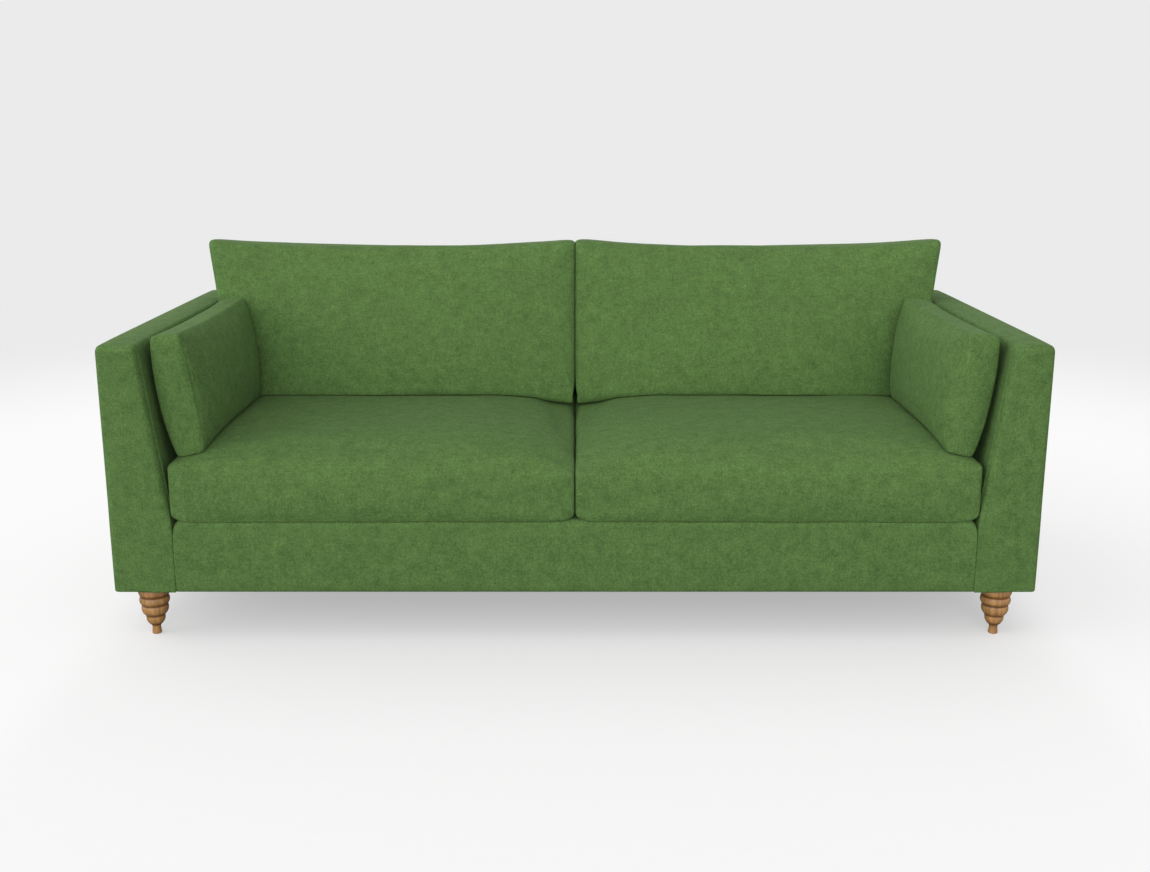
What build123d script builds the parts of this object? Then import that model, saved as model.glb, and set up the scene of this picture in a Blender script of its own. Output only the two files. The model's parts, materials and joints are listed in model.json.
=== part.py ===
from build123d import *
import os
from math import cos, sin, tan, atan2

os.makedirs("parts", exist_ok=True)

# Frame: millimetres, X along the sofa (+X is the viewer's right), front faces -Y, Z up,
# origin on the floor under the middle of the sofa.

# Overall form
sofa_width = 2250.0
sofa_depth = 1040.0
frame_top = 735.0            # floor to the top of the arms and the back
leg_height = 130.0
deck_height = 312.0          # floor to the top of the seat platform
arm_foot_thickness = 144.0   # arm below the platform
arm_top_thickness = 88.0
back_foot_thickness = 190.0  # back below the platform
back_top_thickness = 115.0
top_edge_radius = 20.0
end_edge_radius = 12.0
knee_radius = 60.0

# Upholstery on the frame
arm_padding = 15.0
back_padding = 15.0
back_end_padding = 12.0
top_padding = 18.0
under_cloth = 3.0            # cover turned in below the arms and the back
lining_board = 3.0
border_setback = 6.0         # front border behind the arm fronts
border_padding = 14.0
border_lip = 114.0           # rolled front edge, front to back
border_radius = 17.0
dust_cloth = 1.5

# Timber
post_thickness = 28.0
arm_base_rail_height = 45.0
arm_top_rail_height = 40.0
seat_rail_thickness = 28.0
deck_padding = 22.0
centre_rail_height = 90.0
corner_block_leg = 70.0
corner_block_height = 60.0
back_post_width = 40.0
back_rail_thickness = 30.0
back_bottom_rail_height = 70.0
back_middle_rail_height = 60.0
back_top_rail_height = 28.0

# Webbing
strap_thickness = 2.5
strap_width = 60.0
seat_strap_count = 14
cross_strap_count = 4
back_strap_count = 12

# Fasteners
bolt_radius = 4.0
bolt_head_radius = 10.0
bolt_head_height = 5.0
arm_bolt_length = 100.0
back_end_bolt_length = 150.0
back_bolt_length = 95.0
arm_bolt_inset = 60.0        # from a corner block to the bolt beside it
back_bolt_count = 4
back_end_bolt_height = 560.0
hanger_bolt_depth = 40.0
tee_nut_barrel_radius = 5.2
tee_nut_barrel_length = 9.0
tee_nut_flange_radius = 11.0
tee_nut_flange = 1.6

# Turned front leg, diameters from the top down
leg_collar_diameter = 70.0
leg_collar_height = 4.0
leg_bead_diameters = (77.0, 74.0, 65.0, 44.5)
leg_bead_shares = (25.0, 23.0, 28.0, 25.5)
leg_groove_diameters = (67.0, 66.5, 62.0, 45.5, 26.0)
leg_cove_height = 7.5
leg_neck_diameter = 20.8
leg_flare_height = 13.0
leg_foot_diameter = 23.0
leg_foot_height = 4.0
leg_foot_rounding = 1.5

# Plain back leg
back_leg_top = 58.0
back_leg_bottom = 38.0
back_leg_rounding = 4.0

# Loose seat cushions
seat_middle_gap = 3.0
seat_arm_gap = 2.0
seat_arm_spread = 9.0        # how far the outer end leans towards the arm by its top
seat_back_gap = 3.0
seat_front_inset = 8.0       # boxing behind the arm fronts
seat_boxing = 143.0
seat_crown = 40.0
seat_end_crown = 17.0
seat_bulge = 5.0
seat_draw = 4.0
seat_rounding = 18.0

# Loose back cushions, along and square to the leaning back
back_cushion_gap = 2.0
back_cushion_rise = 128.0    # platform to the cushion's lower edge
back_cushion_height = 455.0
back_cushion_end_boxing = 178.0
back_cushion_low_boxing = 208.0
back_cushion_top_boxing = 158.0
back_cushion_back_crown = 8.0
back_cushion_top_crown = 10.0
back_cushion_crown = 32.0
back_cushion_end_crown = 14.0
back_cushion_draw = 18.0     # dip of the top edge between the corners
back_cushion_arm_gap = 15.0
back_cushion_spread = 8.0    # how much nearer the arm the cushion comes at its top
back_cushion_rounding = 20.0

# Loose arm bolsters, along and square to the leaning arm
bolster_front_inset = 43.0
bolster_rise = 149.0
bolster_height = 294.0
bolster_boxing = 70.0
bolster_outer_crown = 24.0
bolster_inner_crown = 34.0
bolster_end_crown = 8.0
bolster_top_crown = 6.0
bolster_draw = 6.0
bolster_arm_gap = 1.0
bolster_back_gap = 3.0
bolster_rounding = 13.0

# Cushion fillings
core_margin = 20.0           # cover and fibre wrap round a core

# Clearances
fit = 0.3                    # between pieces inside the upholstery, and units bolted together
bolt_clearance = 0.25
cushion_seat = 0.4           # a cushion over what it rests on
tee_nut_clearance = 0.7

# Worked-out places
half_width = sofa_width / 2
front = -sofa_depth / 2
rear = sofa_depth / 2
arm_inner = half_width - arm_foot_thickness
arm_lean = atan2(arm_foot_thickness - arm_top_thickness, frame_top - deck_height)
back_inner = rear - back_foot_thickness
back_lean = atan2(back_foot_thickness - back_top_thickness, frame_top - deck_height)
seat_half = arm_inner - fit
seat_rear = back_inner - fit
timber_low = leg_height + under_cloth + fit
timber_top = frame_top - top_padding - fit
rail_low = leg_height + dust_cloth
rail_top = deck_height - deck_padding - strap_thickness
border_front = front + border_setback
front_rail_y = border_front + border_padding + fit
back_rail_y = seat_rear - seat_rail_thickness
arm_line = arm_padding + fit
arm_board = arm_line + lining_board
leg_x = half_width - arm_foot_thickness / 2
leg_y = -front - (arm_line + post_thickness + tee_nut_flange_radius + tee_nut_clearance)
reach = 2 * sofa_width


def prism_x(points, x0, x1):
    """Solid with a (y, z) outline, from x0 to x1."""
    outline = Wire.make_polygon([(x0, y, z) for y, z in points], close=True)
    return Solid.extrude(Face(outline), Vector(x1 - x0, 0, 0))


def prism_y(points, y0, y1):
    """Solid with an (x, z) outline, from y0 to y1."""
    outline = Wire.make_polygon([(x, y0, z) for x, z in points], close=True)
    return Solid.extrude(Face(outline), Vector(0, y1 - y0, 0))


def block(x0, x1, y0, y1, z0, z1):
    """Plain box between two corners."""
    return Pos(x0, y0, z0) * Solid.make_box(x1 - x0, y1 - y0, z1 - z0)


def rod(radius, start, direction, length):
    """Round bar from a start point."""
    return Solid.make_cylinder(radius, length, Plane(origin=start, z_dir=direction))


def one(shape):
    """The single solid of a boolean result."""
    solids = shape.solids()
    assert len(solids) == 1, len(solids)
    return solids[0]


def mirrored(shape):
    """The same piece on the other side of the sofa's middle."""
    return shape.mirror(Plane.YZ)


def save(name, *solids):
    """Write one node, a single solid or a group of separate ones."""
    shape = solids[0] if len(solids) == 1 else Compound(list(solids))
    shape.label = name
    export_step(shape, f"parts/{name}.step")


def save_pair(name, solid):
    """Write a right-hand piece and its mirror image."""
    save(f"{name}_right", solid)
    save(f"{name}_left", mirrored(solid))


def lean_face(inner, lean, z, inset):
    """Where the leaning inside of an arm or the back stands at height z, moved in by inset."""
    upright = inner + inset
    leaning = inner + (z - deck_height) * tan(lean) + inset / cos(lean)
    return max(upright, leaning)


def lean_knee(lean, inset):
    """Height at which the moved-in upright and leaning faces meet."""
    return deck_height + inset * (1 - 1 / cos(lean)) / tan(lean)


def wall_outline(outer, inner, lean, z0, z1, outer_inset=0.0, inner_inset=0.0):
    """Section of an arm or the back: upright outside, inside leaning out above the platform."""
    return [
        (outer - outer_inset, z0),
        (outer - outer_inset, z1),
        (lean_face(inner, lean, z1, inner_inset), z1),
        (inner + inner_inset, lean_knee(lean, inner_inset)),
        (inner + inner_inset, z0),
    ]


def lean_strip(inner, lean, z0, z1, inset, thickness):
    """Section of a thin layer that follows the inside of an arm or the back."""
    deep = inset + thickness
    return [
        (inner + inset, z0),
        (inner + inset, lean_knee(lean, inset)),
        (lean_face(inner, lean, z1, inset), z1),
        (lean_face(inner, lean, z1, deep), z1),
        (inner + deep, lean_knee(lean, deep)),
        (inner + deep, z0),
    ]


def lean_plate(inner, lean, z0, z1, inset, thickness):
    """Section of a layer that lies only on the leaning part of the back."""
    deep = inset + thickness
    return [
        (lean_face(inner, lean, z0, inset), z0),
        (lean_face(inner, lean, z1, inset), z1),
        (lean_face(inner, lean, z1, deep), z1),
        (lean_face(inner, lean, z0, deep), z0),
    ]


def between_arms(z0, z1, inset):
    """Front outline of the back, which fills the space between the two arms."""
    knee = lean_knee(arm_lean, -inset)
    low = arm_inner - inset
    high = lean_face(arm_inner, arm_lean, z1, -inset)
    half = [(low, z0), (low, knee), (high, z1)]
    return half + [(-x, z) for x, z in reversed(half)]


# Arms: a padded casing over lining boards on a timber frame, made for the right side
arm_section = FilletPolyline(
    *[(x, front, z) for x, z in wall_outline(half_width, arm_inner, arm_lean, leg_height, frame_top)],
    radius=[0, top_edge_radius, top_edge_radius, knee_radius, 0],
    close=True,
)
arm_body = Solid.extrude(Face(Wire(arm_section.edges())), Vector(0, sofa_depth, 0))
arm_ends = [
    e for e in arm_body.edges()
    if abs(abs(e.center().Y) - rear) < fit and e.center().Z > leg_height + fit
]
arm_body = arm_body.fillet(end_edge_radius, arm_ends)
arm_hollow = prism_y(
    wall_outline(half_width, arm_inner, arm_lean, leg_height + under_cloth, frame_top - top_padding,
                 arm_padding, arm_padding),
    front + arm_padding, rear - arm_padding,
)
arm_timber = prism_y(
    wall_outline(half_width, arm_inner, arm_lean, timber_low, timber_top, arm_board, arm_board),
    front + arm_line, rear - arm_line,
)
arm_base_top = timber_low + arm_base_rail_height
arm_cap_low = timber_top - arm_top_rail_height


def arm_slice(y0, y1, z0, z1):
    """The piece of the arm's timber between two depths and two heights."""
    return one(arm_timber & block(0, reach, y0, y1, z0, z1))


arm_base_rail = arm_slice(front, rear, 0, arm_base_top)
arm_top_rail = arm_slice(front, rear, arm_cap_low, reach)
arm_front_post = arm_slice(front, front + arm_line + post_thickness, arm_base_top, arm_cap_low)
arm_back_post = arm_slice(rear - arm_line - post_thickness, rear, arm_base_top, arm_cap_low)
arm_inner_board = prism_y(
    lean_strip(arm_inner, arm_lean, timber_low, timber_top, arm_line, lining_board),
    front + arm_line, rear - arm_line,
)
arm_outer_board = block(half_width - arm_board, half_width - arm_line, front + arm_line, rear - arm_line,
                        timber_low, timber_top)
arm_cover = arm_body - arm_hollow

# Back: the same build between the arms
back_section = FilletPolyline(
    *[(-reach / 2, y, z) for y, z in wall_outline(rear, back_inner, back_lean, leg_height, frame_top)],
    radius=[0, top_edge_radius, top_edge_radius, knee_radius, 0],
    close=True,
)
back_body = Solid.extrude(Face(Wire(back_section.edges())), Vector(reach, 0, 0))
back_body = one(back_body & prism_y(between_arms(leg_height, frame_top, fit), back_inner, rear))
back_line = back_padding + fit
back_end_line = fit + back_end_padding + fit
back_hollow = prism_x(
    wall_outline(rear, back_inner, back_lean, leg_height + under_cloth, frame_top - top_padding,
                 back_padding, back_padding),
    -reach / 2, reach / 2,
) & prism_y(between_arms(leg_height + under_cloth, frame_top - top_padding, fit + back_end_padding),
            back_inner, rear)
back_cover = back_body - one(back_hollow)
back_timber = one(prism_x(
    wall_outline(rear, back_inner, back_lean, timber_low, timber_top,
                 back_line + lining_board, back_line + strap_thickness),
    -reach / 2, reach / 2,
) & prism_y(between_arms(timber_low, timber_top, back_end_line), back_inner, rear))
back_front_line = back_line + strap_thickness
back_post_x = arm_inner - back_end_line - back_post_width


def back_rail(z0, z1, thickness):
    """Cross rail of the back at its front face, end to end."""
    strip = lean_strip(back_inner, back_lean, 0, reach, back_front_line, thickness)
    return one(back_timber & prism_x(strip, -reach / 2, reach / 2) & block(-reach, reach, -reach, reach, z0, z1))


back_bottom_rail = back_rail(timber_low, timber_low + back_bottom_rail_height, back_rail_thickness)
back_middle_rail = back_rail(deck_height, deck_height + back_middle_rail_height, back_rail_thickness)
back_top_rail = one(back_timber & block(-reach, reach, -reach, reach, timber_top - back_top_rail_height, reach))


def back_post(x0, x1):
    """Upright board of the back, housed over the cross rails."""
    board = back_timber & block(x0, x1, -reach, reach, 0, timber_top - back_top_rail_height)
    return one(board - back_bottom_rail - back_middle_rail)


back_post_right = back_post(back_post_x, reach)
back_post_centre = back_post(-back_post_width / 2, back_post_width / 2)
back_board = prism_y(between_arms(timber_low, timber_top, back_end_line),
                     rear - back_line - lining_board, rear - back_line)
back_strap_pitch = 2 * (arm_inner - back_end_line) / back_strap_count
back_strap_section = lean_plate(back_inner, back_lean, deck_height, timber_top, back_line, strap_thickness)
back_straps = [
    prism_x(back_strap_section, x - strap_width / 2, x + strap_width / 2)
    for x in [(i - (back_strap_count - 1) / 2) * back_strap_pitch for i in range(back_strap_count)]
]

# Seat box: rails, webbing, platform pad, padded front border and dust cloth
seat_front_rail = block(-seat_half, seat_half, front_rail_y, front_rail_y + seat_rail_thickness,
                        rail_low, rail_top)
seat_back_rail = block(-seat_half, seat_half, back_rail_y, seat_rear, rail_low, rail_top)
box_front = front_rail_y + seat_rail_thickness
seat_end_rail = block(seat_half - seat_rail_thickness, seat_half, box_front, back_rail_y,
                      rail_low, rail_top - strap_thickness)
seat_centre_rail = block(-seat_rail_thickness / 2, seat_rail_thickness / 2, box_front, back_rail_y,
                         rail_low, rail_low + centre_rail_height)
inside = seat_half - seat_rail_thickness


def corner_block(sx, y, sy):
    """Three-cornered glue block in a corner of the seat box."""
    corner = Wire.make_polygon([
        (sx * inside, y, rail_low),
        (sx * (inside - corner_block_leg), y, rail_low),
        (sx * inside, y + sy * corner_block_leg, rail_low),
    ], close=True)
    return Solid.extrude(Face(corner), Vector(0, 0, corner_block_height))


corner_blocks = [corner_block(sx, y, sy) for sx in (-1, 1) for y, sy in ((box_front, 1), (back_rail_y, -1))]
seat_strap_pitch = 2 * inside / seat_strap_count
seat_straps = [
    block(x - strap_width / 2, x + strap_width / 2, front_rail_y, seat_rear, rail_top, rail_top + strap_thickness)
    for x in [(i - (seat_strap_count - 1) / 2) * seat_strap_pitch for i in range(seat_strap_count)]
]
cross_strap_pitch = (back_rail_y - box_front) / cross_strap_count
cross_straps = [
    block(-seat_half, seat_half, y - strap_width / 2, y + strap_width / 2, rail_top - strap_thickness, rail_top)
    for y in [box_front + (i + 0.5) * cross_strap_pitch for i in range(cross_strap_count)]
]
lip_rear = border_front + border_lip
border_under = rail_top + strap_thickness
border_section = FilletPolyline(
    (-seat_half, border_front, leg_height),
    (-seat_half, border_front, deck_height),
    (-seat_half, lip_rear, deck_height),
    (-seat_half, lip_rear, border_under),
    (-seat_half, border_front + border_padding, border_under),
    (-seat_half, border_front + border_padding, leg_height),
    radius=[0, border_radius, 0, 0, 0, 0],
    close=True,
)
front_border = Solid.extrude(Face(Wire(border_section.edges())), Vector(2 * seat_half, 0, 0))
deck_pad = block(-seat_half, seat_half, lip_rear + fit, seat_rear, border_under, deck_height)
dust_cover = block(-seat_half, seat_half, border_front + border_padding + fit, seat_rear, leg_height, rail_low)

# Bolts that hold the arms, the back and the seat box together
hole_radius = bolt_radius + bolt_clearance


def bolt(start, direction, length):
    """Bolt with a flat round head, the head's bearing face at the start point."""
    shank = rod(bolt_radius, start, direction, length)
    head = rod(bolt_head_radius, start, Vector(*direction) * -1, bolt_head_height)
    return one(shank + head)


arm_bolt_x = seat_half - seat_rail_thickness
arm_bolt_z = timber_low + arm_base_rail_height / 2
arm_bolt_from_rail = corner_block_leg + arm_bolt_inset
arm_bolt_starts = [
    (arm_bolt_x, y, arm_bolt_z) for y in (box_front + arm_bolt_from_rail, back_rail_y - arm_bolt_from_rail)
]
back_end_bolt_start = (back_post_x, rear - arm_line - post_thickness / 2, back_end_bolt_height)
arm_bolts = [bolt(p, (1, 0, 0), arm_bolt_length) for p in arm_bolt_starts]
back_end_bolt = bolt(back_end_bolt_start, (1, 0, 0), back_end_bolt_length)
for p in arm_bolt_starts:
    hole = rod(hole_radius, p, (1, 0, 0), arm_bolt_length + fit)
    seat_end_rail = one(seat_end_rail - hole)
    arm_cover = one(arm_cover - hole)
    arm_inner_board = one(arm_inner_board - hole)
    arm_base_rail = one(arm_base_rail - hole)
end_hole = rod(hole_radius, back_end_bolt_start, (1, 0, 0), back_end_bolt_length + fit)
back_post_right = one(back_post_right - end_hole)
arm_cover = one(arm_cover - end_hole)
arm_inner_board = one(arm_inner_board - end_hole)
arm_back_post = one(arm_back_post - end_hole)
back_cover = one(back_cover - end_hole - mirrored(end_hole))

back_bolt_pitch = 2 * inside / back_bolt_count
back_bolt_z = timber_low + back_bottom_rail_height / 2
back_bolts = []
for i in range(back_bolt_count):
    start = ((i - (back_bolt_count - 1) / 2) * back_bolt_pitch, back_rail_y, back_bolt_z)
    back_bolts.append(bolt(start, (0, 1, 0), back_bolt_length))
    hole = rod(hole_radius, start, (0, 1, 0), back_bolt_length + fit)
    seat_back_rail = one(seat_back_rail - hole)
    back_cover = one(back_cover - hole)
    back_bottom_rail = one(back_bottom_rail - hole)


# Legs, screwed into tee nuts in the arms' base rails
def turned_leg():
    """Front leg: a thin collar, four beads that grow smaller, a cove, a thin neck and a small foot."""
    grooves = [d / 2 for d in leg_groove_diameters]
    neck = leg_neck_diameter / 2
    foot = leg_foot_diameter / 2
    cove_low = leg_foot_height + leg_flare_height
    cove_top = cove_low + leg_cove_height
    beads = leg_height - leg_collar_height - cove_top
    z = leg_height - leg_collar_height
    curves = [
        Polyline((0, 0, 0), (0, 0, leg_height), (leg_collar_diameter / 2, 0, leg_height),
                 (leg_collar_diameter / 2, 0, z), (grooves[0], 0, z)),
    ]
    for above, below, bead, share in zip(grooves, grooves[1:], leg_bead_diameters, leg_bead_shares):
        step = beads * share / sum(leg_bead_shares)
        curves.append(ThreePointArc((above, 0, z), (bead / 2, 0, z - step / 2), (below, 0, z - step)))
        z -= step
    hollow = (neck + (grooves[-1] - neck) / 4, 0, cove_low + leg_cove_height * 0.6)
    curves.append(ThreePointArc((grooves[-1], 0, cove_top), hollow, (neck, 0, cove_low)))
    curves.append(Polyline((neck, 0, cove_low), (foot, 0, leg_foot_height), (foot, 0, leg_foot_rounding),
                           (foot - leg_foot_rounding, 0, 0), (0, 0, 0)))
    outline = Wire([e for curve in curves for e in curve.edges()])
    return Solid.revolve(Face(outline), 360, Axis.Z)


def square_at(side, z):
    """Square outline with rounded corners, centred on the leg's axis."""
    h = side / 2
    corners = [(-h, -h, z), (h, -h, z), (h, h, z), (-h, h, z)]
    return Wire(FilletPolyline(*corners, radius=back_leg_rounding, close=True).edges())


bolt_top = arm_base_top + tee_nut_flange
hanger_low = leg_height - hanger_bolt_depth
leg_bore = rod(hole_radius, (0, 0, hanger_low - fit), (0, 0, 1), hanger_bolt_depth + fit)
front_leg = one(turned_leg() - leg_bore)
back_leg = Solid.make_loft([square_at(back_leg_bottom, 0), square_at(back_leg_top, leg_height)], ruled=True)
back_leg = one(back_leg - leg_bore)
hanger_bolt = rod(bolt_radius, (0, 0, hanger_low), (0, 0, 1), bolt_top - hanger_low)
tee_nut = rod(tee_nut_flange_radius, (0, 0, arm_base_top), (0, 0, 1), tee_nut_flange)
tee_nut += rod(tee_nut_barrel_radius, (0, 0, arm_base_top), (0, 0, -1), tee_nut_barrel_length)
tee_nut = one(tee_nut - rod(hole_radius, (0, 0, 0), (0, 0, 1), reach))
rail_bore = rod(tee_nut_barrel_radius + bolt_clearance, (0, 0, 0), (0, 0, 1), arm_base_top)
leg_spots = [Pos(leg_x, y, 0) for y in (-leg_y, leg_y)]
for spot in leg_spots:
    arm_base_rail = one(arm_base_rail - spot * rail_bore)
    arm_cover = one(arm_cover - spot * rod(hole_radius, (0, 0, 0), (0, 0, 1), arm_base_top))
hanger_bolts = [spot * hanger_bolt for spot in leg_spots]
tee_nuts = [spot * tee_nut for spot in leg_spots]


# Loose cushions: boxed forms with crowned faces, drawn-in edges and rounded corners
def cushion_ring(corners, bulges):
    """Closed section: a flat lower edge, then three sides that bulge through the given points."""
    a, b, c, d = corners
    sides = [ThreePointArc(p, via, q) for p, via, q in zip((b, c, d), bulges, (c, d, a))]
    return Wire([Line(a, b).edge()] + [side.edge() for side in sides])


def cushion_form(rings, rounding):
    """Smooth loft through the sections, with every edge rounded."""
    form = Solid.make_loft(rings, ruled=False)
    return form.fillet(rounding, form.edges())


seat_x0 = seat_middle_gap / 2
seat_x1 = arm_inner - seat_arm_gap
seat_y0 = front + seat_front_inset
seat_y1 = back_inner - seat_back_gap
seat_z0 = deck_height + cushion_seat
seat_z1 = seat_z0 + seat_boxing


def seat_end(z):
    """Outer end of a seat cushion at height z, leaning a little towards the arm."""
    return seat_x1 + seat_arm_spread * (z - seat_z0) / seat_boxing


def seat_ring(place, crown, draw):
    """Section of a seat cushion across its depth; place gives its x at each height."""
    y0 = seat_y0 + draw
    y1 = seat_y1 - draw
    middle = (seat_z0 + seat_z1) / 2
    spots = [
        (y0, seat_z0), (y1, seat_z0), (y1, seat_z1), (y0, seat_z1),
        (y1 + seat_bulge, middle), ((y0 + y1) / 2, seat_z1 + crown), (y0 - seat_bulge, middle),
    ]
    points = [(place(z), y, z) for y, z in spots]
    return cushion_ring(points[:4], points[4:])


seat_middle_x = (seat_x0 + seat_x1) / 2
seat_form = cushion_form([
    seat_ring(lambda z: seat_x0, seat_end_crown, 0),
    seat_ring(lambda z: seat_middle_x, seat_crown, seat_draw),
    seat_ring(seat_end, seat_end_crown, 0),
], seat_rounding)
seat_bed = Pos(0, 0, cushion_seat) * seat_form


def seat_core(grow):
    """Foam block inside a seat cushion."""
    m = core_margin - grow
    return block(seat_x0 + m, seat_x1 - m, seat_y0 + m, seat_y1 - m, seat_z0 + m, seat_z1 - m)


def on_back(s, d):
    """Point s up the leaning back and d in front of it, as (y, z)."""
    return (back_inner + s * sin(back_lean) - d * cos(back_lean),
            deck_height + s * cos(back_lean) + d * sin(back_lean))


back_low = back_cushion_rise
back_high = back_cushion_rise + back_cushion_height
back_face = back_cushion_gap + back_cushion_back_crown
back_low_z = on_back(back_low, back_face)[1]
back_high_z = on_back(back_high, back_face)[1]
back_end_low = lean_face(arm_inner, arm_lean, back_low_z, 0) - back_cushion_arm_gap
back_end_high = lean_face(arm_inner, arm_lean, back_high_z, 0) - back_cushion_arm_gap + back_cushion_spread


def back_end(z):
    """Outer end of a back cushion at height z, sloping out with the arm."""
    share = (z - back_low_z) / (back_high_z - back_low_z)
    return back_end_low + share * (back_end_high - back_end_low)


def back_ring(place, low_boxing, top_boxing, crown, draw):
    """Section of a back cushion; place gives its x at each height."""
    high = back_high - draw
    middle = (back_low + high) / 2
    spots = [
        (back_low, back_face), (back_low, back_face + low_boxing),
        (high, back_face + top_boxing), (high, back_face),
        (middle, back_face + (low_boxing + top_boxing) / 2 + crown),
        (high + back_cushion_top_crown, back_face + top_boxing / 2),
        (middle, back_cushion_gap),
    ]
    points = [(place(z), y, z) for y, z in [on_back(s, d) for s, d in spots]]
    return cushion_ring(points[:4], points[4:])


back_middle_x = (seat_x0 + (back_end_low + back_end_high) / 2) / 2
back_end_ring = (back_cushion_end_boxing, back_cushion_end_boxing, back_cushion_end_crown, 0)
back_form = cushion_form([
    back_ring(lambda z: seat_x0, *back_end_ring),
    back_ring(lambda z: back_middle_x, back_cushion_low_boxing, back_cushion_top_boxing,
              back_cushion_crown, back_cushion_draw),
    back_ring(back_end, *back_end_ring),
], back_cushion_rounding)
back_form = one(back_form - seat_bed)


def back_core(grow):
    """Filling pad inside a back cushion."""
    m = core_margin - grow
    s0 = back_low + core_margin + m
    s1 = back_high - back_cushion_draw - m
    d1 = back_face + back_cushion_top_boxing - m
    corners = [on_back(s, d) for s, d in ((s0, back_face + m), (s0, d1), (s1, d1), (s1, back_face + m))]
    return prism_x(corners, seat_x0 + m, back_end_low - m)


def on_arm(v, u):
    """Point v up the leaning arm and u in from it, as (x, z)."""
    return (arm_inner + v * sin(arm_lean) - u * cos(arm_lean),
            deck_height + v * cos(arm_lean) + u * sin(arm_lean))


bolster_low = bolster_rise
bolster_high = bolster_rise + bolster_height
bolster_face = bolster_arm_gap + bolster_outer_crown
back_front = back_face + (back_cushion_low_boxing + back_cushion_top_boxing) / 2 + back_cushion_crown
bolster_front_y = front + bolster_front_inset


def bolster_rear(z):
    """Rear end of a bolster at height z, leaning with the back cushion in front of it."""
    return back_inner + (z - deck_height) * tan(back_lean) - (back_front + bolster_back_gap) / cos(back_lean)


def bolster_ring(place, outer_crown, inner_crown, draw):
    """Section of a bolster; place gives its y at each height."""
    high = bolster_high - draw
    middle = (bolster_low + high) / 2
    inner = bolster_face + bolster_boxing
    spots = [
        (bolster_low, bolster_face), (bolster_low, inner), (high, inner), (high, bolster_face),
        (middle, inner + inner_crown),
        (high + bolster_top_crown, bolster_face + bolster_boxing / 2),
        (middle, bolster_face - outer_crown),
    ]
    points = [(x, place(z), z) for x, z in [on_arm(v, u) for v, u in spots]]
    return cushion_ring(points[:4], points[4:])


bolster_middle_y = (bolster_front_y + bolster_rear(deck_height + (bolster_low + bolster_high) / 2)) / 2
bolster_form = cushion_form([
    bolster_ring(lambda z: bolster_front_y, bolster_end_crown, bolster_end_crown, 0),
    bolster_ring(lambda z: bolster_middle_y, bolster_outer_crown, bolster_inner_crown, bolster_draw),
    bolster_ring(bolster_rear, bolster_end_crown, bolster_end_crown, 0),
], bolster_rounding)
bolster_form = one(bolster_form - seat_bed)


def bolster_core(grow):
    """Filling pad inside a bolster."""
    m = core_margin - grow
    v0 = bolster_low + core_margin + m
    v1 = bolster_high - bolster_draw - m
    u0 = bolster_face + m
    u1 = bolster_face + bolster_boxing - m
    corners = [on_arm(v, u) for v, u in ((v0, u0), (v0, u1), (v1, u1), (v1, u0))]
    return prism_y(corners, bolster_front_y + m, bolster_rear(on_arm(v0, u0)[1]) - m)


# Write every piece
save_pair("arm_cover", arm_cover)
save_pair("arm_inner_board", arm_inner_board)
save_pair("arm_outer_board", arm_outer_board)
save_pair("arm_front_post", arm_front_post)
save_pair("arm_back_post", arm_back_post)
save_pair("arm_top_rail", arm_top_rail)
save_pair("arm_base_rail", arm_base_rail)
save("back_cover", back_cover)
save("back_board", back_board)
save("back_top_rail", back_top_rail)
save("back_middle_rail", back_middle_rail)
save("back_bottom_rail", back_bottom_rail)
save_pair("back_post", back_post_right)
save("back_post_centre", back_post_centre)
save("back_webbing", *back_straps)
save("seat_front_border", front_border)
save("seat_front_rail", seat_front_rail)
save("seat_back_rail", seat_back_rail)
save_pair("seat_end_rail", seat_end_rail)
save("seat_centre_rail", seat_centre_rail)
save("seat_corner_blocks", *corner_blocks)
save("seat_webbing", *seat_straps)
save("seat_cross_webbing", *cross_straps)
save("seat_platform", deck_pad)
save("dust_cover", dust_cover)
save_pair("front_leg", leg_spots[0] * front_leg)
save_pair("back_leg", leg_spots[1] * back_leg)
save("leg_hanger_bolts", *hanger_bolts, *[mirrored(b) for b in hanger_bolts])
save("leg_tee_nuts", *tee_nuts, *[mirrored(n) for n in tee_nuts])
save("arm_bolts", *arm_bolts, *[mirrored(b) for b in arm_bolts])
save("back_end_bolts", back_end_bolt, mirrored(back_end_bolt))
save("back_bolts", *back_bolts)
for name, form, core in (
    ("seat_cushion", seat_form, seat_core),
    ("back_cushion", back_form, back_core),
    ("arm_bolster", bolster_form, bolster_core),
):
    save_pair(f"{name}_cover", one(form - core(fit)))
    save_pair(f"{name}_core", core(0))
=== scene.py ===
# %% [markdown]
# # A four-seater sofa, dressed over its measured frame
# The frame gives every piece its real size and place. This lesson puts the cloth on: padded arms
# and back, six loose cushions, a dust cloth below, and the wood of the legs. All lengths are metres,
# +X is the viewer's right, the front faces -Y and Z is up.

# %% Load the frame
import json
import math

import bpy
import mathutils
import numpy as np
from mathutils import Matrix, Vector
from mathutils.bvhtree import BVHTree


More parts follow.
